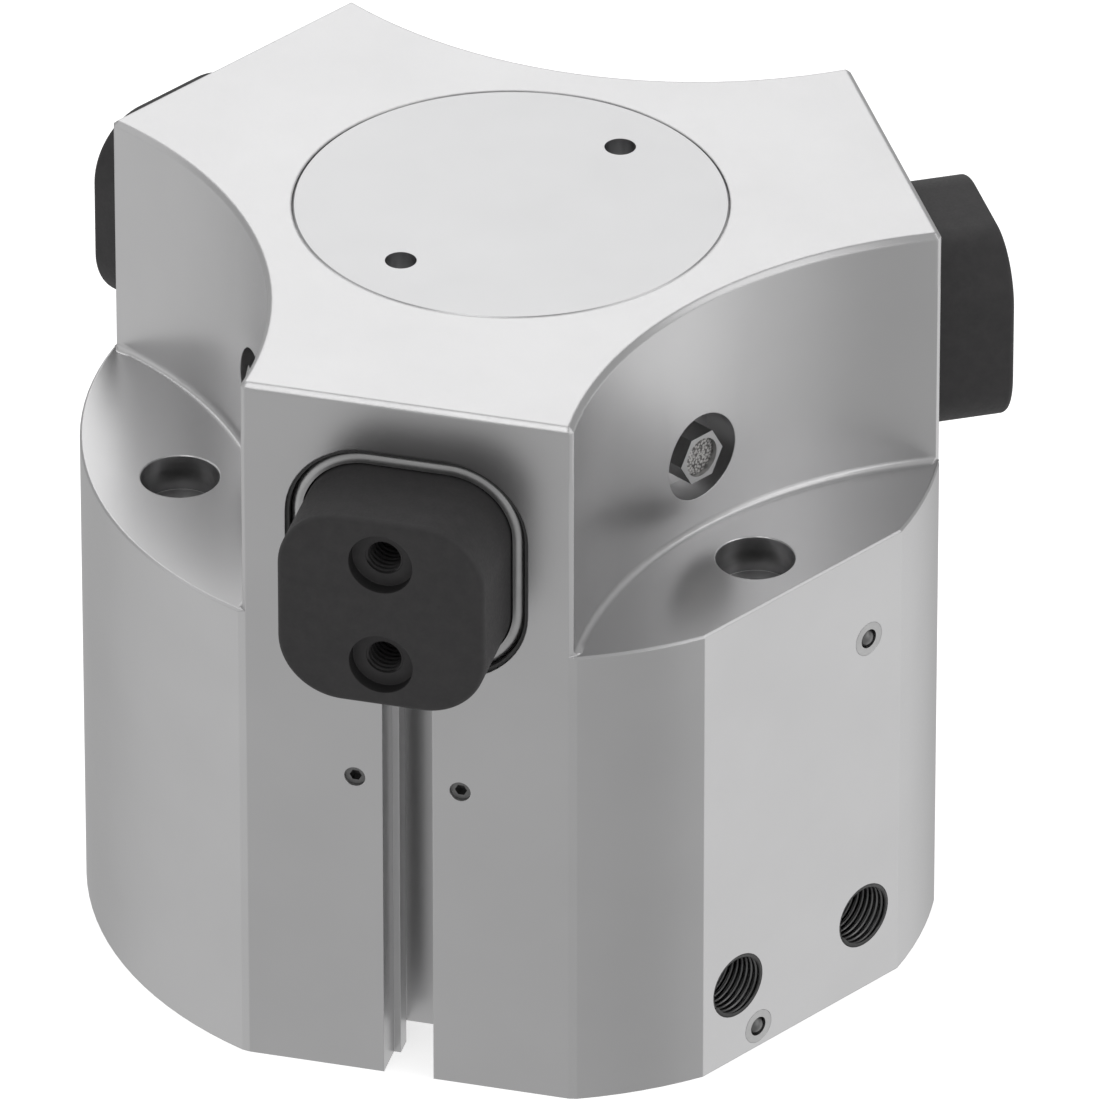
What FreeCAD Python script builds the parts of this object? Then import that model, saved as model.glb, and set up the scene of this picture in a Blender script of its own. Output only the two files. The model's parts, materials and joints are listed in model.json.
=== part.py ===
import FreeCAD, Part
import os
from math import atan2, cos, degrees, radians, sin, sqrt, tan

# Three jaw centric gripper, pneumatic, in millimetres.
# The Z axis is the gripper's own axis, and z = 0 is the face that it is mounted on.
# A piston in the lower half lifts and lowers a wedge driver, and the driver's three
# inclined rails pull the three jaws in and push them out together.
# The rest position is open: piston and driver up, jaws out.

# Directions of the jaws and of the scooped sides between them, in degrees from +X
JAW_ANGLES = (-90.0, 30.0, 150.0)
SIDE_ANGLES = (-30.0, 90.0, 210.0)
PORT_ANGLE = SIDE_ANGLES[0]

# Housing outside: how far the flats lie from the axis and how deep they are cut, the wall that
# the scooped sides leave round the jaw chamber, and the edges
jaw_flat = 55.2
jaw_flat_depth = 4.8
port_flat_depth = 3.2
shelf_below_jaws = 11.35
side_wall = 8.8
top_bevel = 0.7
scoop_fillet = 1.0
corner_bevel = 0.6
corner_easing = 0.12
shelf_bevel = 0.3

# Mounting screws, three, from the shelves to the foot
mount_circle = 95.0
mount_hole_diameter = 6.6
mount_head_diameter = 11.0
mount_head_depth = 5.5
mount_head_bevel = 0.12

# Air ports and drilled air channels
port_diameter = 9.73
port_depth = 9.0
port_height = 12.0
port_offset = 12.5
channel_diameter = 3.0
upper_channel_offset = 13.0
upper_channel_above_chamber = 7.4
lower_channel_offset = -8.4
lower_channel_height = 3.3
lower_channel_depth = 8.0
plug_diameter = 5.0
plug_ball_diameter = 2.8
plug_length = 5.0

# Sensor slots under the jaws
slot_mouth_width = 7.1
slot_mouth_depth = 5.2
slot_neck_width = 5.1
slot_neck_depth = 8.0
slot_chamber_width = 7.9
slot_depth = 13.2
slot_below_pocket = 3.4
grub_offset = 7.5
grub_below_slot_top = 15.0
grub_diameter = 3.0
grub_length = 5.0
grub_recess = 0.5
grub_key = 1.5

# Jaws
jaw_width = 29.3
jaw_height = 29.5
jaw_corner = 9.0
jaw_above_floor = 6.2
jaw_proud = 13.3
jaw_stroke = 10.0
jaw_nose_radius = 6.5
jaw_edge_round = 0.8
jaw_hole_spacing = 16.0
jaw_recess_diameter = 9.0
jaw_recess_depth = 2.1
jaw_thread_diameter = 5.3
jaw_thread_depth = 12.0

# Wipers round the jaws
wiper_depth = 4.5
wiper_lip_depth = 2.0
wiper_rim = 0.5
wiper_recess = 0.4
frame_thickness = 1.75
frame_recess = 0.5
frame_gap = 0.25
frame_round = 1.3
lip_gap = 0.1

# Wedge drive
wedge_angle = 30.0
driver_height = 21.0
driver_end_gap = 0.5
driver_side_gap = 0.4
wedge_face_gap = 0.3
rail_neck_width = 8.0
rail_neck = 2.6
rail_head_width = 15.0
rail_head = 3.0
stem_diameter = 16.0

# Jaw chamber and top cover
cavity_radius = 28.0
cover_seat = 0.5
cover_edge = 1.8
cover_wall = 4.0
cover_thickness = 3.5
cover_spigot_depth = 5.2
cover_above_jaws = 1.9
cover_above_driver = 2.48
cover_bevel = 0.25
pin_hole_diameter = 4.4
pin_hole_inset = 8.9
pin_hole_depth = 4.0
PIN_HOLE_ANGLES = (60.0, 240.0)

# Piston chamber
piston_bore = 63.0
chamber_floor = 11.0
partition_thickness = 12.7
piston_land = 1.5
piston_groove = 4.0
guide_ring_thickness = 2.0
seal_thickness = 4.0
bumper_inset = 7.5
bumper_width = 4.0
bumper_seat = 1.5
bumper_proud = 1.6
bumper_gap = 0.24
stem_seat_depth = 4.0
piston_clearance = 0.2

# Rod guide and seal in the partition
bush_wall = 2.0
rod_seal_height = 4.0
rod_seal_wall = 4.0
rod_seal_ledge = 1.5
rod_relief = 0.3

# Bottom cover
flange_width = 8.1
flange_thickness = 6.0
cover_screw_inset = 3.9
cover_screw_angles = (0.0, 60.0, 120.0, 180.0, 240.0, 300.0)
cover_screw_diameter = 4.0
cover_screw_head_diameter = 7.0
cover_screw_head = 2.8
cover_screw_recess = 3.2
cover_screw_length = 14.0
cover_screw_core = 3.3

# Piston screw
piston_screw_diameter = 8.0
piston_screw_core = 6.8
piston_screw_head_diameter = 13.0
piston_screw_head = 8.0
piston_screw_length = 24.0
piston_screw_key = 6.0

# Round sealing rings of the two covers
ring_cord = 1.56
ring_groove_height = 2.4

# Vent plugs in the scooped sides
vent_above_jaw_centre = 0.35
vent_recess_diameter = 13.0
vent_recess_depth = 5.0
vent_hex = 7.0
vent_head = 5.3
vent_shank_diameter = 5.0
vent_shank_short = 1.6
vent_bore_diameter = 5.8
vent_throat_diameter = 2.5
vent_filter_seat = 1.7
vent_filter_recess = 0.75

# Clearances: running fits, located fits and loose ones
running = 0.05
located = 0.03
loose = 0.3

# Heights and radii that follow from the sizes above
body_radius = jaw_flat + jaw_flat_depth
port_flat = body_radius - port_flat_depth
scoop_wall = cavity_radius + side_wall
jaw_reach = jaw_flat + jaw_proud
slope = tan(radians(wedge_angle))
piston_stroke = jaw_stroke / slope
piston_height = 4 * piston_land + 3 * piston_groove
piston_travel_room = piston_stroke + 2 * (bumper_proud + bumper_gap)
chamber_top = chamber_floor + piston_height + piston_travel_room
cavity_floor = chamber_top + partition_thickness
piston_top = chamber_top - bumper_proud - bumper_gap
piston_foot = piston_top - piston_height
driver_foot = cavity_floor + driver_end_gap + piston_stroke
driver_top = driver_foot + driver_height
driver_radius = cavity_radius - driver_side_gap
rail_depth = (rail_neck + rail_head) / cos(radians(wedge_angle))
flank_foot = driver_radius - rail_depth
jaw_centre_height = cavity_floor + jaw_above_floor + jaw_height / 2
cover_foot = jaw_centre_height + jaw_height / 2 + cover_above_jaws
cover_ceiling = driver_top + cover_above_driver
cover_shoulder = cover_foot + cover_spigot_depth
body_height = cover_shoulder + cover_thickness
cover_spigot_radius = cavity_radius + cover_seat
cover_radius = cover_spigot_radius + cover_edge
jaw_inner = jaw_nose_radius + jaw_stroke
pocket_margin = frame_gap + frame_thickness + wiper_rim
pocket_foot = jaw_centre_height - jaw_height / 2 - pocket_margin
shelf_height = jaw_centre_height - shelf_below_jaws
slot_top = pocket_foot - slot_below_pocket
grub_height = slot_top - grub_below_slot_top
upper_channel_height = chamber_top + upper_channel_above_chamber
vent_height = jaw_centre_height + vent_above_jaw_centre
vent_floor = scoop_wall - vent_recess_depth
vent_face = vent_floor + vent_head
flange_radius = piston_bore / 2 + flange_width
cover_screw_out = piston_bore / 2 + cover_screw_inset
bumper_radius = piston_bore / 2 - bumper_inset
bush_radius = stem_diameter / 2 + bush_wall
seal_pocket_radius = stem_diameter / 2 + rod_seal_wall
seal_pocket_foot = chamber_top + rod_seal_ledge
bush_foot = seal_pocket_foot + rod_seal_height
stem_foot = piston_top - stem_seat_depth


def disc(radius, low, high):
    return Part.makeCylinder(radius, high - low, FreeCAD.Vector(0, 0, low))


def ring(outer, inner, low, high):
    return disc(outer, low, high).cut(disc(inner, low - 1, high + 1))


def turned(shape, angle):
    """The shape turned about the gripper's axis, from the direction +X to the given angle."""
    copy = shape.copy()
    copy.rotate(FreeCAD.Vector(0, 0, 0), FreeCAD.Vector(0, 0, 1), angle)
    return copy


def along_x(radius, start, end, across=0.0, height=0.0):
    """A cylinder that lies along +X, from one distance to another."""
    foot = FreeCAD.Vector(start, across, height)
    return Part.makeCylinder(radius, end - start, foot, FreeCAD.Vector(1, 0, 0))


def block(x_low, x_high, width, low, high):
    """A box that is centred on the X axis."""
    corner = FreeCAD.Vector(x_low, -width / 2, low)
    return Part.makeBox(x_high - x_low, width, high - low, corner)


def prism(points, direction):
    """A closed outline of straight lines, carried along a direction."""
    wire = Part.makePolygon(points + [points[0]])
    return Part.Face(wire).extrude(direction)


def side_prism(outline, half_width):
    """An outline of (x, z) points, carried across in Y, as far to each side."""
    points = [FreeCAD.Vector(x, -half_width, z) for x, z in outline]
    return prism(points, FreeCAD.Vector(0, 2 * half_width, 0))


def hexagon(flats, x_low, x_high, height):
    """A hexagonal bar along +X at the given height, with two of its flats up and down."""
    corner = flats / sqrt(3)
    angles = [radians(60 * i) for i in range(6)]
    points = [FreeCAD.Vector(x_low, corner * cos(a), height + corner * sin(a)) for a in angles]
    return prism(points, FreeCAD.Vector(x_high - x_low, 0, 0))


def jaw_outline(x_low, x_high, margin):
    """The jaw's rounded square section, grown by a margin, carried along +X."""
    width = jaw_width + 2 * margin
    height = jaw_height + 2 * margin
    corner = jaw_corner + margin
    low = jaw_centre_height - height / 2
    bar = block(x_low, x_high, width, low, low + height)
    edges = [e for e in bar.Edges if abs(e.Vertexes[0].X - e.Vertexes[1].X) > 1e-6]
    return bar.makeFillet(corner, edges)


def flank(height, gap=0.0):
    """Distance of the driver's sloping flank from the axis, at a height and a gap off it."""
    return flank_foot - slope * (height - driver_foot) + gap / cos(radians(wedge_angle))


def rail(neck_width, head_width, root, neck, head):
    """A T section that stands on the driver's flank, carried along the flank's slope."""
    angle = radians(wedge_angle)
    outward = FreeCAD.Vector(cos(angle), 0, sin(angle))
    upward = FreeCAD.Vector(-sin(angle), 0, cos(angle))
    length = 4 * driver_height
    start = FreeCAD.Vector(flank_foot, 0, driver_foot) - upward * (length / 2)
    outline = [
        (root, -neck_width / 2), (neck, -neck_width / 2), (neck, -head_width / 2),
        (head, -head_width / 2), (head, head_width / 2), (neck, head_width / 2),
        (neck, neck_width / 2), (root, neck_width / 2),
    ]
    points = [start + outward * n + FreeCAD.Vector(0, t, 0) for n, t in outline]
    return prism(points, upward * length)


def lies_at(edge, height):
    return all(abs(v.Z - height) < 1e-6 for v in edge.Vertexes)


def half_flat():
    """Half the width of a jaw flat."""
    return sqrt(body_radius ** 2 - jaw_flat ** 2)


def scoop_radius():
    """Radius of the concave cut, which meets two jaw flats at their corners."""
    corner_out = jaw_flat * cos(radians(60)) + half_flat() * sin(radians(60))
    corner_across = jaw_flat * sin(radians(60)) - half_flat() * cos(radians(60))
    rise = corner_out - scoop_wall
    return (rise ** 2 + corner_across ** 2) / (2 * rise)


def scoop_edge():
    """What the top bevel takes off the edge of a scoop."""
    low = body_height - top_bevel
    foot = FreeCAD.Vector(scoop_wall + scoop_radius(), 0, low)
    return Part.makeCone(scoop_radius(), scoop_radius() + top_bevel + 1, top_bevel + 1, foot)


def scoop():
    """The concave cut in a side, round at its foot."""
    foot = FreeCAD.Vector(scoop_wall + scoop_radius(), 0, shelf_height)
    cutter = Part.makeCylinder(scoop_radius(), body_height, foot)
    rim = [e for e in cutter.Edges if lies_at(e, shelf_height)]
    return cutter.makeFillet(scoop_fillet, rim)


def shelf_edge():
    """What the bevel takes off the outer edge of a shelf."""
    low = shelf_height - shelf_bevel
    foot = FreeCAD.Vector(scoop_wall + scoop_radius(), 0, low)
    band = Part.makeCylinder(scoop_radius(), shelf_bevel, foot)
    kept = Part.makeCone(body_radius, body_radius - shelf_bevel, shelf_bevel, FreeCAD.Vector(0, 0, low))
    return band.cut(kept)


def port_flat_edge():
    """What the bevel takes off the edge between a shelf and the port flat."""
    low = shelf_height - shelf_bevel
    outline = [
        (port_flat, low), (port_flat - shelf_bevel, shelf_height),
        (body_radius, shelf_height), (body_radius, low),
    ]
    return side_prism(outline, sqrt(body_radius ** 2 - port_flat ** 2))


def slant(out, across, angle, low, high):
    """A block behind an upright plane, whose normal lies at an angle to the direction +X."""
    body = block(0, body_radius, body_radius, low, high)
    body.rotate(FreeCAD.Vector(0, 0, 0), FreeCAD.Vector(0, 0, 1), angle)
    body.translate(FreeCAD.Vector(out, across, 0))
    return body


def upper_edge(out, across, angle):
    """What the top bevel takes off above an upright plane."""
    outline = [
        (0, body_height - top_bevel), (-top_bevel - 1, body_height + 1),
        (body_radius, body_height + 1), (body_radius, body_height - top_bevel),
    ]
    body = side_prism(outline, body_radius / 2)
    body.rotate(FreeCAD.Vector(0, 0, 0), FreeCAD.Vector(0, 0, 1), angle)
    body.translate(FreeCAD.Vector(out, across, 0))
    return body


def flat_corner(side):
    """What is taken off an upright edge of a jaw flat: a bevel above the shelf, a facet below."""
    out = jaw_flat - corner_bevel / 2
    across = side * (half_flat() - corner_bevel / 2)
    bevel = slant(out, across, side * 45, shelf_height, body_height + 1)
    tilt = degrees(atan2(half_flat(), jaw_flat)) / 2
    eased = body_radius * cos(radians(tilt)) - corner_easing
    facet = turned(slant(eased, 0, 0, -1, shelf_height), side * tilt)
    return [bevel, upper_edge(out, across, side * 45), facet]


def housing_outside():
    """Round body with three jaw flats, a port flat, three scoops and bevelled edges."""
    body = disc(body_radius, 0, body_height)
    flat = block(jaw_flat, 2 * body_radius, 2 * body_radius, -1, body_height + 1)
    cuts = []
    for angle in JAW_ANGLES:
        sides = [flat, upper_edge(jaw_flat, 0, 0)] + flat_corner(-1) + flat_corner(1)
        cuts.extend(turned(cut, angle) for cut in sides)
    flat = block(port_flat, 2 * body_radius, 2 * body_radius, -1, body_height + 1)
    cuts.extend(turned(cut, PORT_ANGLE) for cut in (flat, port_flat_edge()))
    for angle in SIDE_ANGLES:
        cuts.extend(turned(cut, angle) for cut in (scoop(), scoop_edge(), shelf_edge()))
    for cut in cuts:
        body = body.cut(cut)
    return body.removeSplitter()


def sensor_slot():
    """A stepped slot that is open at the foot: a wide mouth, a narrow neck and a chamber."""
    mouth = block(jaw_flat - slot_mouth_depth, jaw_flat + 1, slot_mouth_width, -1, slot_top)
    neck = block(jaw_flat - slot_neck_depth, jaw_flat, slot_neck_width, -1, slot_top)
    chamber = block(jaw_flat - slot_depth, jaw_flat - slot_neck_depth, slot_chamber_width, -1, slot_top)
    return [mouth, neck, chamber]


def jaw_side_cuts():
    """What is cut from the housing in the direction of one jaw."""
    cuts = sensor_slot()
    cuts.append(jaw_outline(cavity_radius / 2, body_radius, running))
    cuts.append(jaw_outline(jaw_flat - wiper_depth, body_radius, pocket_margin))
    for side in (-1, 1):
        cuts.append(along_x(grub_diameter / 2, jaw_flat - grub_length - grub_recess, body_radius,
                            side * grub_offset, grub_height))
    return cuts


def mount_hole():
    """Through hole for a mounting screw, with a recess for the screw's head."""
    out = mount_circle / 2
    shaft = Part.makeCylinder(mount_hole_diameter / 2, body_height, FreeCAD.Vector(out, 0, -1))
    head = Part.makeCylinder(mount_head_diameter / 2, body_height,
                             FreeCAD.Vector(out, 0, shelf_height - mount_head_depth))
    bevel = Part.makeCone(mount_head_diameter / 2, mount_head_diameter / 2 + mount_head_bevel,
                          mount_head_bevel, FreeCAD.Vector(out, 0, shelf_height - mount_head_bevel))
    return [shaft, head, bevel]


def vent_hole():
    recess = along_x(vent_recess_diameter / 2, vent_floor, body_radius, 0, vent_height)
    shaft = along_x(vent_shank_diameter / 2 + located, cavity_radius / 2, vent_floor + 1, 0, vent_height)
    return [recess, shaft]


def upright(radius, out, across, low, high):
    return Part.makeCylinder(radius, high - low, FreeCAD.Vector(out, across, low))


def port_side_cuts():
    """Ports, drilled channels and plug seats in the port flat, in the direction +X."""
    bore = piston_bore / 2
    drill = channel_diameter / 2
    seat = plug_diameter / 2 + located
    floor = port_flat - port_depth
    plug_floor = port_flat - plug_length
    ports = [along_x(port_diameter / 2, floor, body_radius, side * port_offset, port_height)
             for side in (-1, 1)]
    # The lower port leads straight into the piston chamber
    entry = chamber_floor + drill
    lower = [along_x(drill, bore / 2, floor + 1, -port_offset, entry)]
    # The upper port leads up, in through the partition and down into the chamber
    mouth = bore - 2 * channel_diameter
    top = upper_channel_height
    upper = [
        upright(drill, floor, upper_channel_offset, port_height, top + drill),
        along_x(drill, mouth, port_flat, upper_channel_offset, top),
        upright(drill, mouth, upper_channel_offset, chamber_top - 1, top),
    ]
    # A second way in at the foot
    foot = [along_x(drill / 2, plug_floor - lower_channel_depth, port_flat,
                    lower_channel_offset, lower_channel_height)]
    seats = [along_x(seat, plug_floor, body_radius, across, height) for across, height in plug_seats()]
    return ports + lower + upper + foot + seats


def centre_cuts():
    """Piston chamber, rod guide, jaw chamber and the seats of both covers."""
    cuts = [
        disc(piston_bore / 2, -1, chamber_top),
        disc(flange_radius, -1, flange_thickness),
        disc(stem_diameter / 2 + rod_relief, chamber_floor, cavity_floor + 1),
        disc(seal_pocket_radius, seal_pocket_foot, bush_foot),
        disc(bush_radius, bush_foot, cavity_floor + 1),
        disc(cavity_radius, cavity_floor, body_height),
        disc(cover_spigot_radius, cover_foot, body_height),
        disc(cover_radius, cover_shoulder, body_height + 1),
    ]
    for angle in cover_screw_angles:
        hole = upright(cover_screw_core / 2, cover_screw_out, 0, 0, cover_screw_length + 2)
        cuts.append(turned(hole, angle))
    return cuts


def housing():
    body = housing_outside()
    cuts = centre_cuts()
    for angle in JAW_ANGLES:
        cuts.extend(turned(cut, angle) for cut in jaw_side_cuts())
    for angle in SIDE_ANGLES:
        cuts.extend(turned(cut, angle) for cut in mount_hole() + vent_hole())
    cuts.extend(turned(cut, PORT_ANGLE) for cut in port_side_cuts())
    for cut in cuts:
        body = body.cut(cut)
    return body.removeSplitter()


def seal_groove(outer, middle):
    """A groove round a spigot, for a sealing ring as thick as the gap that it fills."""
    low = middle - ring_groove_height / 2
    return ring(outer + 1, outer - ring_cord - 2 * located, low, low + ring_groove_height)


def sealing_ring(outer, middle):
    centre = FreeCAD.Vector(0, 0, middle)
    return Part.makeTorus(outer - ring_cord / 2 - located, ring_cord / 2, centre)


def top_seal_height():
    return cover_shoulder - cover_spigot_depth / 2


def top_cover():
    """Screwed-in cover over the jaw chamber, with two holes for a pin spanner."""
    radius = cover_radius - 2 * running
    plate = disc(radius, cover_shoulder, body_height)
    rim = [e for e in plate.Edges if lies_at(e, body_height)]
    plate = plate.makeChamfer(cover_bevel, rim)
    cover = plate.fuse(disc(cover_spigot_radius - running, cover_foot, cover_shoulder))
    cover = cover.cut(disc(cover_spigot_radius - cover_wall, cover_foot - 1, cover_ceiling))
    cover = cover.cut(seal_groove(cover_spigot_radius - running, top_seal_height()))
    for angle in PIN_HOLE_ANGLES:
        hole = upright(pin_hole_diameter / 2, cover_radius - pin_hole_inset, 0,
                       body_height - pin_hole_depth, body_height + 1)
        cover = cover.cut(turned(hole, angle))
    return cover.removeSplitter()


def bottom_seal_height():
    return (flange_thickness + chamber_floor) / 2


def bottom_cover():
    """Flanged cover that closes the piston chamber and holds the lower air entry open."""
    cover = disc(flange_radius - 2 * running, 0, flange_thickness)
    cover = cover.fuse(disc(piston_bore / 2 - running, flange_thickness, chamber_floor))
    cover = cover.cut(seal_groove(piston_bore / 2 - running, bottom_seal_height()))
    for angle in cover_screw_angles:
        shaft = upright(cover_screw_diameter / 2 + running, cover_screw_out, 0,
                        -1, flange_thickness + 1)
        head = upright(cover_screw_head_diameter / 2 + loose / 2, cover_screw_out, 0,
                       -1, cover_screw_recess)
        cover = cover.cut(turned(shaft.fuse(head), angle))
    return cover.removeSplitter()


def bottom_cover_screws():
    """Six cap screws, sunk in the flange, each a separate solid."""
    screws = []
    out = cover_screw_out
    low = cover_screw_recess - cover_screw_head
    for angle in cover_screw_angles:
        head = upright(cover_screw_head_diameter / 2, out, 0, low, cover_screw_recess)
        shaft = upright(cover_screw_core / 2 - running, out, 0, cover_screw_recess, cover_screw_length)
        socket = upright(cover_screw_diameter / 3, out, 0, low - 1, low + cover_screw_head / 2)
        screws.append(turned(head.fuse(shaft).cut(socket), angle))
    return Part.makeCompound(screws)


def wedge_driver():
    """Driver with three sloping flanks, a T rail on each, and the stem to the piston."""
    body = disc(driver_radius, driver_foot, driver_top)
    reach = 2 * driver_radius
    outline = [
        (flank(driver_foot), driver_foot), (flank(driver_top), driver_top),
        (reach, driver_top), (reach, driver_foot),
    ]
    for angle in JAW_ANGLES:
        body = body.cut(turned(side_prism(outline, reach), angle))
    envelope = disc(driver_radius, driver_foot, driver_top)
    section = rail(rail_neck_width, rail_head_width, -rail_neck, rail_neck, rail_neck + rail_head)
    trimmed = section.common(envelope)
    for angle in JAW_ANGLES:
        body = body.fuse(turned(trimmed, angle))
    body = body.fuse(disc(stem_diameter / 2, stem_foot, driver_foot + 1))
    thread = disc(piston_screw_core / 2, stem_foot - 1, stem_foot + piston_screw_length)
    return body.cut(thread).removeSplitter()


def piston():
    """Piston disc with grooves for the magnet, the guide ring and the seal, from the foot up."""
    radius = piston_bore / 2 - piston_clearance
    low = piston_foot
    body = disc(radius, low, piston_top)
    depths = (seal_thickness, guide_ring_thickness, seal_thickness)
    for index, depth in enumerate(depths):
        foot = groove_foot(index)
        body = body.cut(ring(radius + 1, piston_bore / 2 - depth, foot, foot + piston_groove))
    body = body.cut(disc(stem_diameter / 2 + located, stem_foot, piston_top + 1))
    body = body.cut(disc(piston_screw_diameter / 2 + loose, low - 1, piston_top))
    body = body.cut(disc(piston_screw_head_diameter / 2 + loose, low - 1, low + piston_screw_head + loose))
    for seat in bumper_seats():
        body = body.cut(seat)
    return body.removeSplitter()


def groove_foot(index):
    return piston_foot + piston_land + index * (piston_groove + piston_land)


def bumper_ring(low, high, margin):
    return ring(bumper_radius + margin, bumper_radius - bumper_width - margin, low, high)


def bumper_seats():
    upper = bumper_ring(piston_top - bumper_seat, piston_top + 1, located)
    lower = bumper_ring(piston_foot - 1, piston_foot + bumper_seat, located)
    return upper, lower


def upper_bumper():
    return bumper_ring(piston_top - bumper_seat, piston_top + bumper_proud, 0)


def lower_bumper():
    return bumper_ring(piston_foot - bumper_proud, piston_foot + bumper_seat, 0)


def piston_magnet():
    foot = groove_foot(0) + located
    outer = piston_bore / 2 - piston_clearance
    inner = piston_bore / 2 - seal_thickness + located
    return ring(outer, inner, foot, foot + piston_groove - 2 * located)


def piston_guide_ring():
    foot = groove_foot(1) + located
    outer = piston_bore / 2 - running
    inner = piston_bore / 2 - guide_ring_thickness + located
    return ring(outer, inner, foot, foot + piston_groove - 2 * located)


def piston_seal():
    """Double lip seal: two lips that touch the bore, with a waist between them."""
    foot = groove_foot(2) + located
    height = piston_groove - 2 * located
    outer = piston_bore / 2 - running
    inner = piston_bore / 2 - seal_thickness + located
    seal = ring(outer, inner, foot, foot + height)
    waist = ring(outer + 1, outer - seal_thickness / 4, foot + height / 3, foot + 2 * height / 3)
    return seal.cut(waist)


def piston_screw():
    """Cap screw that clamps the piston to the stem, from below."""
    seat = piston_foot + piston_screw_head + loose
    low = seat - piston_screw_head
    head = disc(piston_screw_head_diameter / 2, low, seat)
    shaft = disc(piston_screw_core / 2 - running, seat, stem_foot + piston_screw_length - 2)
    across = piston_screw_key / sqrt(3)
    corners = [radians(60 * i) for i in range(6)]
    points = [FreeCAD.Vector(across * cos(a), across * sin(a), low - 1) for a in corners]
    socket = prism(points, FreeCAD.Vector(0, 0, 1 + piston_screw_head / 2))
    return head.fuse(shaft).cut(socket).removeSplitter()


def rod_bush():
    return ring(bush_radius - located, stem_diameter / 2 + running, bush_foot, cavity_floor)


def rod_seal():
    inner = stem_diameter / 2 + running
    body = ring(seal_pocket_radius - located, inner,
                seal_pocket_foot + located, bush_foot - located)
    lip = Part.makeCone(inner + rod_seal_wall / 3, inner, rod_seal_height / 2,
                        FreeCAD.Vector(0, 0, seal_pocket_foot))
    return body.cut(lip)


def jaw():
    """One jaw, in the direction +X: guided bar, wedge slot at the nose, two fixing holes."""
    bar = jaw_outline(jaw_inner, jaw_reach, 0)
    face = [e for e in bar.Edges if all(abs(v.X - jaw_reach) < 1e-6 for v in e.Vertexes)]
    bar = bar.makeFillet(jaw_edge_round, face)
    low = jaw_centre_height - jaw_height
    high = jaw_centre_height + jaw_height
    outline = [
        (flank(low, wedge_face_gap), low), (flank(high, wedge_face_gap), high),
        (-body_radius, high), (-body_radius, low),
    ]
    bar = bar.cut(side_prism(outline, body_radius))
    # The nose is a 120 degree point, so that the three jaws clear each other when closed
    tip = jaw_stroke + wedge_face_gap
    for side in (-1, 1):
        points = [
            FreeCAD.Vector(tip, 0, low),
            FreeCAD.Vector(tip + body_radius * cos(radians(60)), side * body_radius * sin(radians(60)), low),
            FreeCAD.Vector(-body_radius, side * body_radius, low),
        ]
        bar = bar.cut(prism(points, FreeCAD.Vector(0, 0, high - low)))
    slot = rail(rail_neck_width + 2 * running, rail_head_width + 2 * running,
                -rail_neck, rail_neck - running, rail_neck + rail_head + running)
    bar = bar.cut(slot)
    for side in (-1, 1):
        height = jaw_centre_height + side * jaw_hole_spacing / 2
        recess = along_x(jaw_recess_diameter / 2, jaw_reach - jaw_recess_depth, jaw_reach + 1, 0, height)
        thread = along_x(jaw_thread_diameter / 2, jaw_reach - jaw_recess_depth - jaw_thread_depth,
                         jaw_reach, 0, height)
        bar = bar.cut(recess.fuse(thread))
    return bar


def jaw_wiper():
    """Rubber wiper in the pocket: an outer rim just below the flat, and a lip at the jaw."""
    inside = jaw_flat - wiper_depth
    rim_margin = frame_gap + frame_thickness
    body = jaw_outline(inside, jaw_flat - wiper_recess, pocket_margin - located)
    body = body.cut(jaw_outline(inside - 1, jaw_flat + 1, lip_gap))
    return body.cut(jaw_outline(inside + wiper_lip_depth, jaw_flat + 1, rim_margin))


def wiper_frame():
    """Frame that holds the wiper down, between the jaw and the wiper's rim, round at its front edge."""
    inside = jaw_flat - wiper_depth + wiper_lip_depth
    face = jaw_flat - frame_recess
    body = jaw_outline(inside, face, frame_gap + frame_thickness - located)
    front = [e for e in body.Edges if all(abs(v.X - face) < 1e-6 for v in e.Vertexes)]
    body = body.makeFillet(frame_round, front)
    return body.cut(jaw_outline(inside - 1, jaw_flat, frame_gap))


def vent_plug():
    """Hexagonal vent plug: head in the recess, shank to the jaw chamber, hollow for a filter."""
    end = cavity_radius + vent_shank_short
    body = hexagon(vent_hex, vent_floor, vent_face, vent_height)
    shank = along_x(vent_shank_diameter / 2, end, vent_floor, 0, vent_height)
    bore = along_x(vent_bore_diameter / 2, vent_face - vent_filter_seat, vent_face + 1, 0, vent_height)
    throat = along_x(vent_throat_diameter / 2, end - 1, vent_face, 0, vent_height)
    return body.fuse(shank).cut(bore).cut(throat)


def vent_filter():
    """Sintered disc, pressed into the vent plug and a little below its face."""
    radius = vent_bore_diameter / 2 - located
    return along_x(radius, vent_face - vent_filter_seat, vent_face - vent_filter_recess, 0, vent_height)


def plug_seats():
    return ((upper_channel_offset, upper_channel_height), (lower_channel_offset, lower_channel_height))


def channel_plug_sleeves():
    """Two pressed-in sleeves that close the drilled channels, flush with the port flat."""
    sleeves = []
    for across, height in plug_seats():
        sleeve = along_x(plug_diameter / 2, port_flat - plug_length, port_flat, across, height)
        bore = along_x(plug_ball_diameter / 2 + located, port_flat - plug_length / 2,
                       port_flat + 1, across, height)
        sleeves.append(turned(sleeve.cut(bore), PORT_ANGLE))
    return Part.makeCompound(sleeves)


def channel_plug_balls():
    """The steel balls that spread the sleeves, a little below the port flat."""
    balls = []
    radius = plug_ball_diameter / 2
    for across, height in plug_seats():
        centre = FreeCAD.Vector(port_flat - plug_length / 2 + radius, across, height)
        balls.append(turned(Part.makeSphere(radius, centre), PORT_ANGLE))
    return Part.makeCompound(balls)


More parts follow.
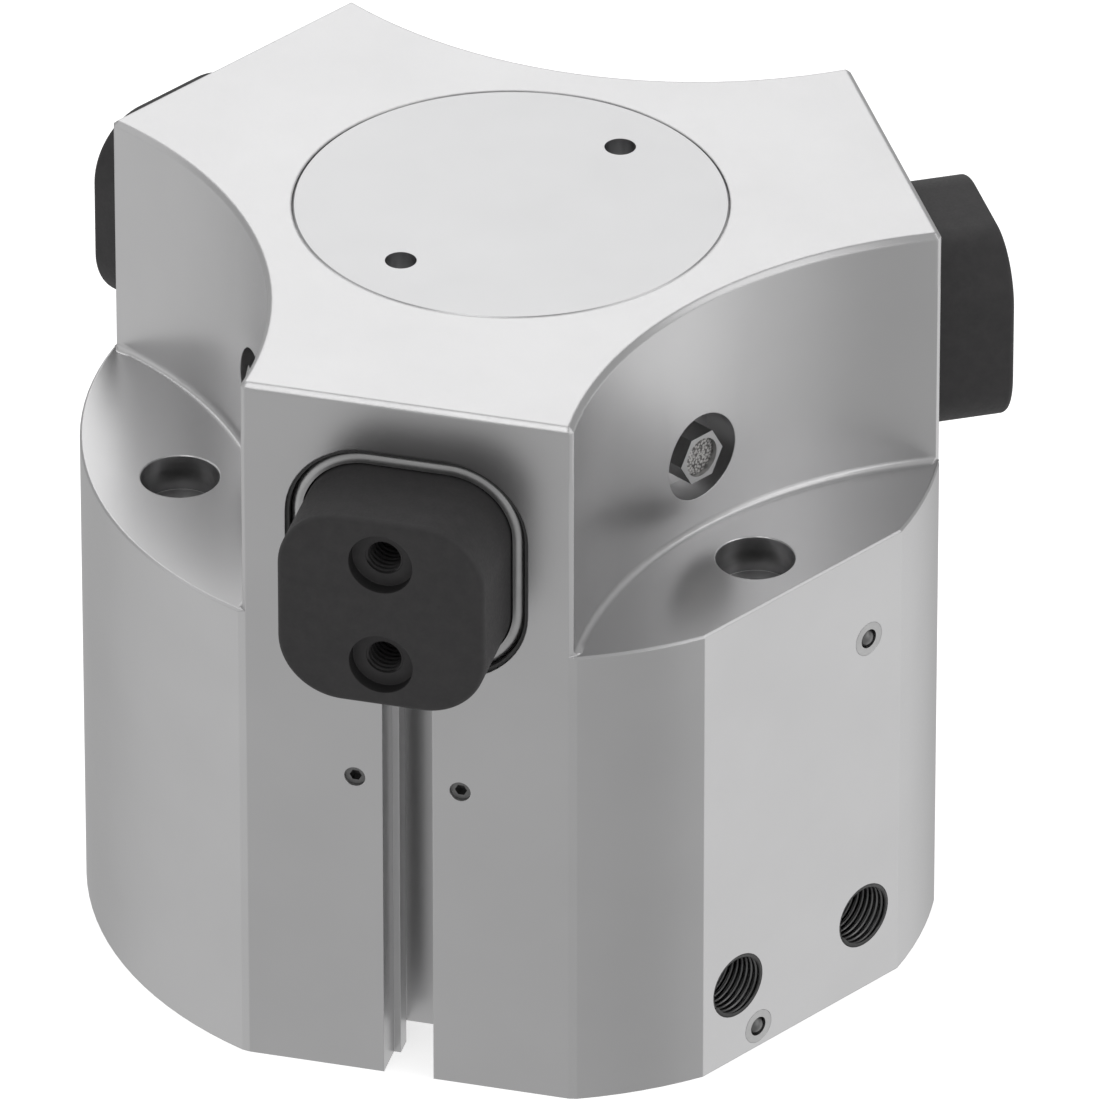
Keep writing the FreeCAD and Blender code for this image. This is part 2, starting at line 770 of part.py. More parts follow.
def grub_screws():
    """Socket set screws, one each side of each sensor slot."""
    screws = []
    face = jaw_flat - grub_recess
    for angle in JAW_ANGLES:
        for side in (-1, 1):
            body = along_x(grub_diameter / 2 - located, face - grub_length, face,
                           side * grub_offset, grub_height)
            key = hexagon(grub_key, face - grub_key, face + 1, grub_height)
            key.translate(FreeCAD.Vector(0, side * grub_offset, 0))
            screws.append(turned(body.cut(key), angle))
    return Part.makeCompound(screws)


def one_per_jaw(name, shape):
    return {"%s_%d" % (name, i + 1): turned(shape, a) for i, a in enumerate(JAW_ANGLES)}


def one_per_side(name, shape):
    return {"%s_%d" % (name, i + 1): turned(shape, a) for i, a in enumerate(SIDE_ANGLES)}


def assembly():
    """Every piece of the gripper by its name."""
    pieces = {
        "housing": housing(),
        "top_cover": top_cover(),
        "top_cover_seal": sealing_ring(cover_spigot_radius, top_seal_height()),
        "bottom_cover": bottom_cover(),
        "bottom_cover_seal": sealing_ring(piston_bore / 2, bottom_seal_height()),
        "bottom_cover_screws": bottom_cover_screws(),
        "wedge_driver": wedge_driver(),
        "piston": piston(),
        "piston_screw": piston_screw(),
        "piston_seal": piston_seal(),
        "piston_guide_ring": piston_guide_ring(),
        "piston_magnet": piston_magnet(),
        "upper_bumper": upper_bumper(),
        "lower_bumper": lower_bumper(),
        "rod_bush": rod_bush(),
        "rod_seal": rod_seal(),
        "channel_plug_sleeves": channel_plug_sleeves(),
        "channel_plug_balls": channel_plug_balls(),
        "grub_screws": grub_screws(),
    }
    pieces.update(one_per_jaw("jaw", jaw()))
    pieces.update(one_per_jaw("jaw_wiper", jaw_wiper()))
    pieces.update(one_per_jaw("wiper_frame", wiper_frame()))
    pieces.update(one_per_side("vent_plug", vent_plug()))
    pieces.update(one_per_side("vent_filter", vent_filter()))
    return pieces


os.makedirs("parts", exist_ok=True)
for piece_name, piece_shape in assembly().items():
    piece_shape.exportStep("parts/%s.step" % piece_name)
    print(piece_name, len(piece_shape.Solids), round(piece_shape.Volume, 1), piece_shape.isValid())
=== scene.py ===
"""Three jaw centric gripper: its finishes, its thread turns, a plain studio and the camera.

Lengths are in metres. The gripper's axis is +Z, its foot is at z = 0 and jaw 1 faces -Y.
"""

import json
from math import cos, pi, radians, sin

import bpy
import numpy as np
from mathutils import Matrix, Vector


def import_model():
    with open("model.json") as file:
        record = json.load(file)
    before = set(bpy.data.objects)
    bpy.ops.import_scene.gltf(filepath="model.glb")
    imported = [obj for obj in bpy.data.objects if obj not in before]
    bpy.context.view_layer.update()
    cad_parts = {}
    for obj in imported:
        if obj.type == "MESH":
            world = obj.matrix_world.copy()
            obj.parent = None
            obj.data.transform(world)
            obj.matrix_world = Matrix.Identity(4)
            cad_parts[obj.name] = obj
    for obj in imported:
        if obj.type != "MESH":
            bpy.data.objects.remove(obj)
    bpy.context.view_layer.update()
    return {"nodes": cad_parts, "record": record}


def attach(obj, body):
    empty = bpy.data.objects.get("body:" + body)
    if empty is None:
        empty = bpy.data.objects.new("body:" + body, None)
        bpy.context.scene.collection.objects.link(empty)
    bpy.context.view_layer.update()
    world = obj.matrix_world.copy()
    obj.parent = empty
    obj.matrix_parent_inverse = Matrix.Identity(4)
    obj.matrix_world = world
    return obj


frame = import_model()
MM = 0.001

# Directions of the scooped sides, in degrees from +X
SIDE_ANGLES = (-30.0, 90.0, 210.0)

# Threads: how far the ridge stands off the wall, and its pitch; and the plain end of each hole
PORT_THREAD = (0.58 * MM, 0.907 * MM)
JAW_THREAD = (0.3 * MM, 1.0 * MM)
PLAIN_END = 0.4 * MM
# The share of the pitch that a ridge's flat crest takes up
CREST_SHARE = 0.28
# The turn at which a ridge begins: most of its width still lies outside the mouth there, and is cut off
THREAD_START = -0.45
THREAD_STEPS = 40
# How far a ridge is let into its wall, so that no gap shows, and how far it lies below the mouth
LET_IN = 0.06 * MM
MOUTH_GAP = 0.02 * MM

# Recesses for the heads of the mounting screws: a radius just outside their wall, and the heights of
# their mouth and floor
HEAD_RADIUS = 5.53 * MM
HEAD_MOUTH = 72.3 * MM
HEAD_FLOOR = 66.8 * MM
# How far outside a jaw's centring recess its zone of painted shading ends
CENTRING_MARGIN = 0.01 * MM
# How far below the mouth of a port the painted shade on its thread begins, deepening towards the mouth
MOUTH_DEPTH = 0.9 * MM

# Each row of painted shading: (place, share of the base colour). Shares below 1 paint shade, shares
# above 1 paint light.
# Places run from 0 at the floor of the screw and centring recesses, or at the mouth's depth in a port,
# to 1 at the mouth.
RECESS_PAINTED_SHADING = ((0.0, 1.0), (0.004, 1.0), (0.008, 0.3), (0.3, 0.5), (0.65, 1.3), (1.0, 1.45))
CENTRING_PAINTED_SHADING = ((0.0, 1.2), (0.02, 1.2), (0.04, 0.42), (0.8, 0.5), (1.0, 0.75))
MOUTH_PAINTED_SHADE = ((0.0, 1.0), (0.5, 0.6), (1.0, 0.4))

# The radius to which edges are broken, that of the housing's top edges and the height at which they
# begin, and how finely this is sampled
EDGE = 0.2 * MM
TOP_EDGE = 0.5 * MM
TOP_EDGE_FROM = 100 * MM
EDGE_SAMPLES = 6
# Edges within this of a screw recess's floor or a port's mouth are left sharp
SHARP_MARGIN = 0.3 * MM

# Noise keeps mostly between these two values, so colours and roughness run from low to high there
NOISE_LOW = 0.3
NOISE_HIGH = 0.7

# Camera, in front of jaw 1 and a little to the right, looking down
CAMERA_AZIMUTH = radians(14.96)
CAMERA_ELEVATION = radians(32.15)
CAMERA_ROLL = -0.0005
CAMERA_DISTANCE = 2.7494
CAMERA_AIM_RIGHT = 5.36 * MM
CAMERA_AIM_HEIGHT = 52.47 * MM
CAMERA_LENS = 644.8
CAMERA_SENSOR = 36.0
CAMERA_REACH = 50.0

# Studio
ROOM_LEVEL = 0.44
# What the metal sees of the room below the horizon, by the direction in degrees from +X
ROOM_TONES = {
    -180: 0.69, -140: 0.73, -105: 0.535, -70: 0.54, -35: 0.43, -10: 0.65,
    20: 0.97, 50: 0.87, 90: 0.45, 135: 0.5, 180: 0.69,
}
HORIZON_BLEND = 0.05
FLOOR_RADIUS = 6.0
FLOOR_SIDES = 64
FLOOR_COLOUR = 0.8
FLOOR_GLOW = 0.7
LIGHT_AIM = Vector((0, 0, 0.05))
# Each softbox: azimuth and elevation in degrees, distance, width and height, watts
SOFTBOXES = {
    "back_high": (125.0, 42.0, 2.2, 2.0, 1.2, 8.0),
    "back_low": (112.0, 14.0, 2.2, 1.5, 0.9, 2.8),
    "right_high": (2.0, 42.0, 2.2, 1.5, 1.0, 4.2),
    "right_low": (-22.0, 14.0, 2.2, 1.5, 1.0, 4.8),
    "left": (-165.0, 28.0, 2.2, 1.2, 1.6, 2.0),
    "top": (110.0, 72.0, 2.2, 1.2, 1.2, 0.9),
    "front_high": (-102.0, 58.0, 2.2, 0.9, 0.6, 3.4),
}


def mounts(test):
    """The record's mounts that pass a test."""
    return [mount for mount in frame["record"]["mounts"] if test(mount)]


def is_thread(mount):
    return mount["kind"] == "threaded_hole"


def in_jaw(mount):
    return mount["name"].startswith("jaw")


def hole_radius(mount):
    return mount["dims"]["r_mm"] * MM


def hole_length(mount):
    return mount["dims"]["length_mm"] * MM


def hole_mouth(mount):
    return np.array(mount["pos_m"]) + np.array(mount["axis"]) * hole_length(mount) / 2


def hole_ends(mount):
    """How far from the gripper's axis a hole's floor and mouth lie."""
    mouth = float(np.dot(hole_mouth(mount), mount["axis"]))
    return mouth - hole_length(mount), mouth


def outward(angle):
    """Unit vector in the horizontal plane, at an angle in degrees from +X."""
    return np.array([cos(radians(angle)), sin(radians(angle)), 0.0])


def mesh_object(name, points, faces, body):
    """A smooth-shaded piece that rides on a body."""
    mesh = bpy.data.meshes.new(name)
    mesh.from_pydata([tuple(p) for p in points], [], [tuple(f) for f in faces])
    mesh.update()
    mesh.polygons.foreach_set("use_smooth", np.ones(len(mesh.polygons), dtype=bool))
    piece = bpy.data.objects.new(name, mesh)
    bpy.context.scene.collection.objects.link(piece)
    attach(piece, body)
    return piece


def thread_turns(name, body, centre, axis, across, wall, depth, pitch, length):
    """The ridge of an internal thread.

    A trapezium with its base on the wall and its narrow crest towards the axis is carried along
    a helix: at u turns it stands at angle 2 pi u and at pitch times u along the axis. The first
    turn is cut off level with the mouth, and over the last half turn the trapezium shrinks, so
    the ridge ends in a point at either end.
    """
    turns = length / pitch - 1.0
    u = np.linspace(THREAD_START, turns, int(turns * THREAD_STEPS))
    taper = np.clip((turns - u) * 2.0, 0.0, 1.0)
    taper = taper * taper * (3 - 2 * taper)
    inner = u[1:-1, None]
    grow = taper[1:-1, None]
    # Corners of the trapezium: base at one side, both ends of the crest, base at the other side
    half = np.array([-0.5, -CREST_SHARE / 2, CREST_SHARE / 2, 0.5])
    along = inner * pitch + grow * half * pitch
    along = np.maximum(along, MOUTH_GAP)
    radius = wall + LET_IN - grow * np.array([0.0, 1.0, 1.0, 0.0]) * (depth + LET_IN)
    turn = 2 * pi * inner
    up = np.cross(axis, across)
    ring = (centre - along[..., None] * axis
            + radius[..., None] * (np.cos(turn)[..., None] * across + np.sin(turn)[..., None] * up))
    tips = [centre - max(end * pitch, MOUTH_GAP) * axis
            + (wall + LET_IN) * (cos(2 * pi * end) * across + sin(2 * pi * end) * up)
            for end in (u[0], turns)]
    rings = len(ring)
    points = np.concatenate([ring.reshape(-1, 3), np.array(tips)])
    corners = len(half)
    row = np.arange(rings - 1)[:, None] * corners
    side = np.arange(corners)[None, :]
    following = (side + 1) % corners
    quads = np.stack([row + side, row + following, row + corners + following,
                      row + corners + side], -1)
    faces = quads.reshape(-1, 4).tolist()
    first, last = rings * corners, rings * corners + 1
    end_row = (rings - 1) * corners
    faces += [[first, (k + 1) % corners, k] for k in range(corners)]
    faces += [[last, end_row + k, end_row + (k + 1) % corners] for k in range(corners)]
    return mesh_object(name, points, faces, body)


def threads():
    """Thread turns in every threaded hole that the record names, each with its material slot."""
    turned = []
    for mount in mounts(is_thread):
        axis = np.array(mount["axis"])
        across = np.cross([0.0, 0.0, 1.0], axis)
        if in_jaw(mount):
            name, slot, size = mount["name"], "black_jaw", JAW_THREAD
            body = "_".join(name.split("_")[:2])
        else:
            # Port threads take the key dark_steel here, which dress_all turns into a dark finish of
            # painted shade
            name, slot, size = mount["name"] + "_thread", "dark_steel", PORT_THREAD
            body = "body"
        piece = thread_turns(name, body, hole_mouth(mount), axis, across, hole_radius(mount),
                             *size, hole_length(mount) - PLAIN_END)
        turned.append((piece, slot))
    return turned


def mounting_axes():
    """Where the mounting screws' axes stand, as (x, y)."""
    pattern, = mounts(lambda mount: mount["kind"] == "bolt_pattern")
    out = pattern["dims"]["pcd_mm"] * MM / 2
    return [tuple(outward(angle)[:2] * out) for angle in SIDE_ANGLES]


def sharp_places():
    """Middle and reach of each round edge that is left sharp: recess floors and port mouths."""
    floors = [((x, y, HEAD_FLOOR), HEAD_RADIUS + SHARP_MARGIN) for x, y in mounting_axes()]
    ports = mounts(lambda mount: is_thread(mount) and not in_jaw(mount))
    return floors + [(tuple(hole_mouth(port)), hole_radius(port) + SHARP_MARGIN) for port in ports]


def grey(level):
    return (level, level, level)


class Finish:
    """A material with a principled shader, and short calls for the nodes that feed it."""

    def __init__(self, name, colour, metallic, roughness):
        self.material = bpy.data.materials.new(name)
        self.material.use_nodes = True
        self.tree = self.material.node_tree
        self.shader = self.tree.nodes["Principled BSDF"]
        self.shader.inputs["Base Color"].default_value = (*colour, 1.0)
        self.shader.inputs["Metallic"].default_value = metallic
        self.shader.inputs["Roughness"].default_value = roughness
        self.place = self.node("ShaderNodeTexCoord").outputs["Object"]

    def node(self, kind):
        return self.tree.nodes.new(kind)

    def link(self, source, target):
        self.tree.links.new(source, target)

    def noise(self, scale, detail=2.0, rough=0.5, stretch=None):
        """Noise between 0 and 1; scale is in cells to a metre, stretch scales the three axes."""
        texture = self.node("ShaderNodeTexNoise")
        texture.inputs["Scale"].default_value = scale
        texture.inputs["Detail"].default_value = detail
        texture.inputs["Roughness"].default_value = rough
        place = self.place
        if stretch:
            mapping = self.node("ShaderNodeMapping")
            mapping.inputs["Scale"].default_value = stretch
            self.link(place, mapping.inputs["Vector"])
            place = mapping.outputs["Vector"]
        self.link(place, texture.inputs["Vector"])
        return texture.outputs["Fac"]

    def colour(self, factor, low, high):
        """Base colour that runs from low to high with the factor."""
        ramp = self.node("ShaderNodeValToRGB")
        ramp.color_ramp.elements[0].color = (*low, 1.0)
        ramp.color_ramp.elements[1].color = (*high, 1.0)
        ramp.color_ramp.elements[0].position = NOISE_LOW
        ramp.color_ramp.elements[1].position = NOISE_HIGH
        self.link(factor, ramp.inputs["Fac"])
        self.link(ramp.outputs["Color"], self.shader.inputs["Base Color"])

    def math(self, operation, first, second):
        """One step of arithmetic on a link and a link or a number."""
        step = self.node("ShaderNodeMath")
        step.operation = operation
        self.link(first, step.inputs[0])
        if isinstance(second, float):
            step.inputs[1].default_value = second
        else:
            self.link(second, step.inputs[1])
        return step.outputs["Value"]

    def vector_math(self, operation, first, second=None, result="Vector"):
        """One step of arithmetic on a vector link and a fixed vector."""
        step = self.node("ShaderNodeVectorMath")
        step.operation = operation
        self.link(first, step.inputs[0])
        if second is not None:
            step.inputs[1].default_value = second
        return step.outputs[result]

    def from_lines(self, lines):
        """Distance from the nearest of some straight lines, each a point and a direction."""
        nearest = None
        for point, direction in lines:
            offset = self.vector_math("SUBTRACT", self.place, point)
            moment = self.vector_math("CROSS_PRODUCT", offset, direction)
            found = self.vector_math("LENGTH", moment, result="Value")
            nearest = found if nearest is None else self.math("MINIMUM", nearest, found)
        return nearest

    def farthest_along(self, directions):
        """How far out a place lies, along the direction in which it lies farthest."""
        most = None
        for direction in directions:
            found = self.vector_math("DOT_PRODUCT", self.place, direction, "Value")
            most = found if most is None else self.math("MAXIMUM", most, found)
        return most

    def away_from(self, places):
        """1 where every one of some places is farther off than its reach, else 0."""
        away = None
        for middle, reach in places:
            gap = self.vector_math("DISTANCE", self.place, middle, "Value")
            found = self.math("GREATER_THAN", gap, float(reach))
            away = found if away is None else self.math("MINIMUM", away, found)
        return away

    def spread(self, value, low, high, first=0.0, last=1.0):
        """Turns the range from low to high into that from first to last."""
        change = self.node("ShaderNodeMapRange")
        change.inputs["From Min"].default_value = low
        change.inputs["From Max"].default_value = high
        change.inputs["To Min"].default_value = first
        change.inputs["To Max"].default_value = last
        self.link(value, change.inputs["Value"])
        return change.outputs["Result"]

    def tone(self, where, height, low, high, tones):
        """Paints shade and light into the base colour: multiplies it by tones that run from low to high.

        This is done everywhere, or only where the first link is 1.
        """
        ramp = self.node("ShaderNodeValToRGB")
        stops = ramp.color_ramp.elements
        for place, share in tones[1:-1]:
            stops.new(place)
        for stop, (place, share) in zip(stops, tones):
            stop.position = place
            stop.color = (*grey(share), 1.0)
        self.link(self.spread(height, low, high), ramp.inputs["Fac"])
        mix = self.node("ShaderNodeMix")
        mix.data_type = "RGBA"
        mix.blend_type = "MULTIPLY"
        mix.inputs["Factor"].default_value = 1.0
        base = self.shader.inputs["Base Color"]
        if where:
            self.link(where, mix.inputs["Factor"])
        self.link(base.links[0].from_socket, mix.inputs["A"])
        self.link(ramp.outputs["Color"], mix.inputs["B"])
        self.link(mix.outputs["Result"], base)

    def rough(self, factor, low, high):
        """Roughness that runs from low to high with the factor."""
        change = self.spread(factor, NOISE_LOW, NOISE_HIGH, low, high)
        self.link(change, self.shader.inputs["Roughness"])

    def bump(self, height, distance, strength=1.0, edge=None):
        """A fine relief; edge is the radius to which sharp edges look rounded, a number or a link."""
        relief = self.node("ShaderNodeBump")
        if edge:
            softened = self.node("ShaderNodeBevel")
            softened.samples = EDGE_SAMPLES
            if isinstance(edge, float):
                softened.inputs["Radius"].default_value = edge
            else:
                self.link(edge, softened.inputs["Radius"])
            self.link(softened.outputs["Normal"], relief.inputs["Normal"])
        relief.inputs["Distance"].default_value = distance
        relief.inputs["Strength"].default_value = strength
        self.link(height, relief.inputs["Height"])
        self.link(relief.outputs["Normal"], self.shader.inputs["Normal"])


def anodised():
    """Blasted and clear anodised aluminium: a satin sheen over a grain finer than 0.1 mm.

    The wall of each recess for a screw head carries painted shade that darkens it towards the floor, and
    painted light that brightens it towards the mouth.
    """
    f = Finish("anodised_housing", grey(0.6), 1.0, 0.3)
    f.colour(f.noise(60, 3), (0.59, 0.588, 0.592), (0.612, 0.61, 0.614))
    split = f.node("ShaderNodeSeparateXYZ")
    f.link(f.place, split.inputs["Vector"])
    # Painted shade and light: each screw-head recess wall is darkened towards its floor and lightened
    # towards its mouth
    holes = [((x, y, 0.0), (0.0, 0.0, 1.0)) for x, y in mounting_axes()]
    painted_shading_zone = f.math("LESS_THAN", f.from_lines(holes), HEAD_RADIUS)
    f.tone(painted_shading_zone, split.outputs["Z"], HEAD_FLOOR, HEAD_MOUTH, RECESS_PAINTED_SHADING)
    f.rough(f.noise(3500, 2), 0.28, 0.34)
    edge = f.spread(split.outputs["Z"], TOP_EDGE_FROM, TOP_EDGE_FROM + MM, EDGE, TOP_EDGE)
    edge = f.math("MULTIPLY", edge, f.away_from(sharp_places()))
    f.bump(f.noise(7000, 1), 0.006 * MM, 0.5, edge)
    return f.material


def turned_cover():
    """Anodised aluminium turned on a lathe: rings about the gripper's axis, finer than they show."""
    f = Finish("anodised_cover", grey(0.57), 1.0, 0.32)
    f.colour(f.noise(60, 3), (0.555, 0.555, 0.56), (0.575, 0.575, 0.58))
    rings = f.node("ShaderNodeTexWave")
    rings.wave_type = "RINGS"
    rings.rings_direction = "Z"
    rings.inputs["Scale"].default_value = 1200
    rings.inputs["Distortion"].default_value = 0.5
    f.link(f.place, rings.inputs["Vector"])
    f.rough(rings.outputs["Fac"], 0.3, 0.35)
    f.bump(f.noise(7000, 1), 0.006 * MM, 0.5)
    return f.material


def black_jaw():
    """Matt black coat on blasted steel, with painted shade on the walls of the centring recesses and
    painted light on their floors.
    """
    f = Finish("black_jaw", grey(0.046), 0.0, 0.6)
    f.shader.inputs["Specular IOR Level"].default_value = 0.3
    f.colour(f.noise(500, 4, 0.6), (0.042, 0.041, 0.042), (0.051, 0.049, 0.05))
    # Painted shade on the walls of each centring recess, and painted light on its floor
    recesses = mounts(lambda mount: mount["name"].endswith("centring"))
    lines = [(recess["pos_m"], recess["axis"]) for recess in recesses]
    painted_shading_zone = f.math("LESS_THAN", f.from_lines(lines), hole_radius(recesses[0]) + CENTRING_MARGIN)
    # Each jaw has two recesses that face the same way
    facing = [recess["axis"] for recess in recesses[::2]]
    f.tone(painted_shading_zone, f.farthest_along(facing), *hole_ends(recesses[0]), CENTRING_PAINTED_SHADING)
    f.rough(f.noise(2500, 2), 0.56, 0.66)
    f.bump(f.noise(5000, 2), 0.012 * MM, 0.6, EDGE)
    return f.material


def wiper_rubber():
    """Moulded black rubber with a dusty bloom."""
    f = Finish("wiper_rubber", grey(0.075), 0.0, 0.6)
    f.colour(f.noise(400, 3), (0.07, 0.07, 0.071), (0.082, 0.082, 0.083))
    f.rough(f.noise(1500, 2), 0.55, 0.7)
    f.bump(f.noise(3000, 2), 0.015 * MM, 0.5)
    return f.material


def seal_rubber():
    """Smooth black rubber."""
    f = Finish("seal_rubber", grey(0.02), 0.0, 0.45)
    f.colour(f.noise(400, 3), (0.016, 0.016, 0.017), (0.026, 0.026, 0.027))
    f.rough(f.noise(1200, 2), 0.4, 0.52)
    return f.material


def port_thread():
    """The ports' threads, with tool marks: a dark base colour that is painted shade for the thread's
    hollow, darker still on the first turn behind the mouth.
    """
    f = Finish("port_thread", grey(0.17), 1.0, 0.3)
    # Painted shade: the whole thread is far darker than the housing it is cut in, and darker still
    # towards the mouth
    f.colour(f.noise(250, 4, 0.6), grey(0.17), grey(0.22))
    port, = mounts(lambda mount: mount["name"] == "close_port")
    mouth = hole_ends(port)[1]
    f.tone(None, f.farthest_along([port["axis"]]), mouth - MOUTH_DEPTH, mouth, MOUTH_PAINTED_SHADE)
    marks = f.noise(2500, 3, 0.6)
    f.rough(marks, 0.3, 0.42)
    f.bump(marks, 0.01 * MM, 0.4)
    return f.material


def steel(name, low, high, rough_low, rough_high, stretch=(1, 1, 1)):
    """Bare steel with fine tool marks that run where the stretch is smallest."""
    f = Finish(name, low, 1.0, rough_low)
    f.colour(f.noise(250, 4, 0.6), low, high)
    marks = f.noise(2500, 3, 0.6, stretch)
    f.rough(marks, rough_low, rough_high)
    f.bump(marks, 0.01 * MM, 0.4)
    return f.material


def sintered_metal():
    """Pressed metal granules, about a third of a millimetre across, each painted darker towards its edge
    as shade, so the pores between them show dark.
    """
    f = Finish("sintered_metal", grey(0.55), 1.0, 0.45)
    cells = f.node("ShaderNodeTexVoronoi")
    cells.inputs["Scale"].default_value = 2600
    f.link(f.place, cells.inputs["Vector"])
    # Painted shade: each granule darkens towards its edge, where shade falls between granules
    f.colour(cells.outputs["Distance"], (0.62, 0.61, 0.6), (0.2, 0.195, 0.19))
    f.rough(cells.outputs["Distance"], 0.35, 0.7)
    f.bump(f.math("MULTIPLY", cells.outputs["Distance"], -1.0), 0.12 * MM, 0.8)
    return f.material


def plastic(name, low, high, rough_low, rough_high):
    """Moulded or machined plastic, slightly cloudy."""
    f = Finish(name, low, 0.0, rough_low)
    f.colour(f.noise(300, 3), low, high)
    f.rough(f.noise(1500, 2), rough_low, rough_high)
    f.bump(f.noise(4000, 2), 0.008 * MM, 0.5)
    return f.material


def bronze():
    """Sintered bronze of the rod's bush."""
    f = Finish("bronze", (0.5, 0.35, 0.18), 1.0, 0.4)
    f.colour(f.noise(2000, 3), (0.45, 0.31, 0.16), (0.56, 0.4, 0.21))
    f.rough(f.noise(3000, 2), 0.35, 0.5)
    f.bump(f.noise(5000, 2), 0.01 * MM, 0.5)
    return f.material


def finishes():
    """Every material by the slot that the record names."""
    return {
        "anodised_housing": anodised(),
        "anodised_cover": turned_cover(),
        "black_jaw": black_jaw(),
        "wiper_rubber": wiper_rubber(),
        "seal_rubber": seal_rubber(),
        "light_steel": steel("light_steel", grey(0.46), grey(0.52), 0.3, 0.42),
        "steel": steel("steel", grey(0.4), grey(0.47), 0.22, 0.34, (1, 1, 4)),
        "dark_steel": steel("dark_steel", grey(0.17), grey(0.22), 0.35, 0.5),
        "sintered_metal": sintered_metal(),
        "bronze": bronze(),
        "piston_aluminium": steel("piston_aluminium", grey(0.6), grey(0.66), 0.3, 0.4, (1, 1, 8)),
        "guide_plastic": plastic("guide_plastic", (0.05, 0.09, 0.075), (0.07, 0.115, 0.1), 0.45, 0.55),
        "magnet_plastic": plastic("magnet_plastic", grey(0.03), grey(0.045), 0.5, 0.6),
        "bumper_plastic": plastic("bumper_plastic", (0.42, 0.3, 0.08), (0.5, 0.37, 0.12), 0.4, 0.5),
    }


def dress(piece, material):
    piece.data.materials.clear()
    piece.data.materials.append(material)


def dress_all(materials):
    """Gives every CAD node the material of its slot, every jaw thread that of its jaw, and every port
    thread a dark finish of painted shade.
    """
    for part in frame["record"]["subparts"]:
        dress(frame["nodes"][part["node"]], materials[part["material_slot"]])
    turned = {
        "dark_steel": port_thread(),
        "black_jaw": materials["black_jaw"],
    }
    for piece, slot in threads():
        dress(piece, turned[slot])


def camera():
    """Stands off the gripper's axis by the camera's distance, and looks at a point on it."""
    azimuth, elevation = CAMERA_AZIMUTH, CAMERA_ELEVATION
    back = Vector((sin(azimuth) * cos(elevation), -cos(azimuth) * cos(elevation), sin(elevation)))
    level = Vector((0, 0, 1)).cross(back).normalized()
    upright = back.cross(level)
    right = level * cos(CAMERA_ROLL) + upright * sin(CAMERA_ROLL)
    up = upright * cos(CAMERA_ROLL) - level * sin(CAMERA_ROLL)
    place = right * CAMERA_AIM_RIGHT + Vector((0, 0, CAMERA_AIM_HEIGHT)) + back * CAMERA_DISTANCE
    data = bpy.data.cameras.new("camera")
    data.sensor_fit = "HORIZONTAL"
    data.sensor_width = CAMERA_SENSOR
    data.lens = CAMERA_LENS
    data.clip_end = CAMERA_REACH
    shot = bpy.data.objects.new("camera", data)
    bpy.context.scene.collection.objects.link(shot)
    turn = Matrix((right, up, back)).transposed().to_4x4()
    shot.matrix_world = Matrix.Translation(place) @ turn
    bpy.context.scene.camera = shot


def softbox(name, azimuth, elevation, distance, width, height, watts):
    """A square lamp that faces the gripper."""
    data = bpy.data.lights.new(name, "AREA")
    data.shape = "RECTANGLE"
    data.size = width
    data.size_y = height
    data.energy = watts
    lamp = bpy.data.objects.new(name, data)
    bpy.context.scene.collection.objects.link(lamp)
    rise = radians(elevation)
    away = Vector((*(outward(azimuth)[:2] * cos(rise)), sin(rise)))
    lamp.location = LIGHT_AIM + away * distance
    lamp.rotation_euler = away.to_track_quat("Z", "Y").to_euler()


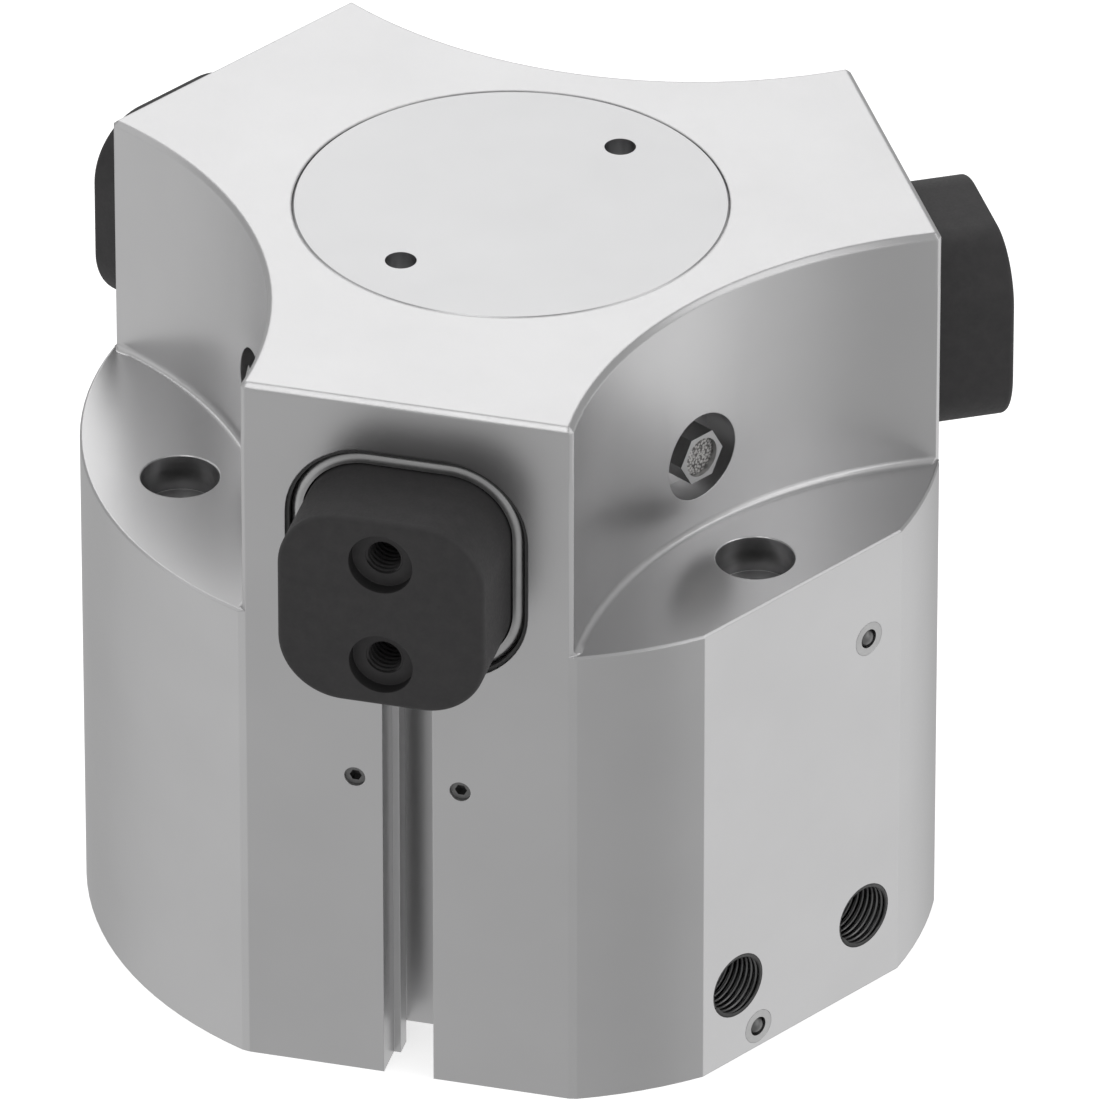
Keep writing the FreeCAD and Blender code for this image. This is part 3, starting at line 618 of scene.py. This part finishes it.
def world():
    """A pale room. It shows white itself; the metal sees one level above and ROOM_TONES below."""
    room = bpy.data.worlds.new("room")
    room.use_nodes = True
    room.cycles.sampling_method = "NONE"
    tree = room.node_tree
    background = tree.nodes["Background"]
    direction = tree.nodes.new("ShaderNodeTexCoord").outputs["Generated"]
    around = tree.nodes.new("ShaderNodeTexGradient")
    around.gradient_type = "RADIAL"
    tree.links.new(direction, around.inputs["Vector"])
    tones = tree.nodes.new("ShaderNodeValToRGB")
    tones.color_ramp.interpolation = "EASE"
    stops = tones.color_ramp.elements
    while len(stops) < len(ROOM_TONES):
        stops.new(0.5)
    for stop, (azimuth, tone) in zip(stops, sorted(ROOM_TONES.items())):
        stop.position = (azimuth + 180) / 360
        stop.color = (*grey(tone), 1.0)
    tree.links.new(around.outputs["Fac"], tones.inputs["Fac"])
    split = tree.nodes.new("ShaderNodeSeparateXYZ")
    tree.links.new(direction, split.inputs["Vector"])
    above = tree.nodes.new("ShaderNodeMapRange")
    above.inputs["From Min"].default_value = -HORIZON_BLEND
    above.inputs["From Max"].default_value = HORIZON_BLEND
    tree.links.new(split.outputs["Z"], above.inputs["Value"])
    mixes = []
    for target in (grey(ROOM_LEVEL), grey(1.0)):
        mix = tree.nodes.new("ShaderNodeMix")
        mix.data_type = "RGBA"
        mix.inputs["B"].default_value = (*target, 1.0)
        mixes.append(mix)
    upper, shown = mixes
    tree.links.new(above.outputs["Result"], upper.inputs["Factor"])
    tree.links.new(tones.outputs["Color"], upper.inputs["A"])
    path = tree.nodes.new("ShaderNodeLightPath")
    tree.links.new(path.outputs["Is Camera Ray"], shown.inputs["Factor"])
    tree.links.new(upper.outputs["Result"], shown.inputs["A"])
    tree.links.new(shown.outputs["Result"], background.inputs["Color"])
    bpy.context.scene.world = room


def floor_finish():
    """Pale and plain, with a glow that whitens it in the picture. The metal sees the room through it."""
    f = Finish("pale_floor", grey(FLOOR_COLOUR), 0.0, 0.9)
    f.shader.inputs["Specular IOR Level"].default_value = 0.0
    f.shader.inputs["Emission Color"].default_value = (1, 1, 1, 1)
    path = f.node("ShaderNodeLightPath")
    glow = f.math("MULTIPLY", path.outputs["Is Camera Ray"], FLOOR_GLOW)
    f.link(glow, f.shader.inputs["Emission Strength"])
    either = f.math("MAXIMUM", path.outputs["Is Glossy Ray"], path.outputs["Is Transmission Ray"])
    mix = f.node("ShaderNodeMixShader")
    f.link(either, mix.inputs["Fac"])
    f.link(f.shader.outputs["BSDF"], mix.inputs[1])
    f.link(f.node("ShaderNodeBsdfTransparent").outputs["BSDF"], mix.inputs[2])
    f.link(mix.outputs["Shader"], f.tree.nodes["Material Output"].inputs["Surface"])
    return f.material


def floor():
    """A wide disc under the foot, a fan of triangles round its centre."""
    turn = np.linspace(0, 2 * pi, FLOOR_SIDES, endpoint=False)
    rim = np.stack([np.cos(turn), np.sin(turn), np.zeros_like(turn)], -1) * FLOOR_RADIUS
    points = np.concatenate([np.zeros((1, 3)), rim])
    faces = [(0, i + 1, (i + 1) % FLOOR_SIDES + 1) for i in range(FLOOR_SIDES)]
    mesh = bpy.data.meshes.new("floor")
    mesh.from_pydata([tuple(p) for p in points], [], faces)
    ground = bpy.data.objects.new("floor", mesh)
    bpy.context.scene.collection.objects.link(ground)
    dress(ground, floor_finish())


dress_all(finishes())
camera()
world()
floor()
for softbox_name, setting in SOFTBOXES.items():
    softbox(softbox_name, *setting)
bpy.context.scene.view_settings.view_transform = "Standard"
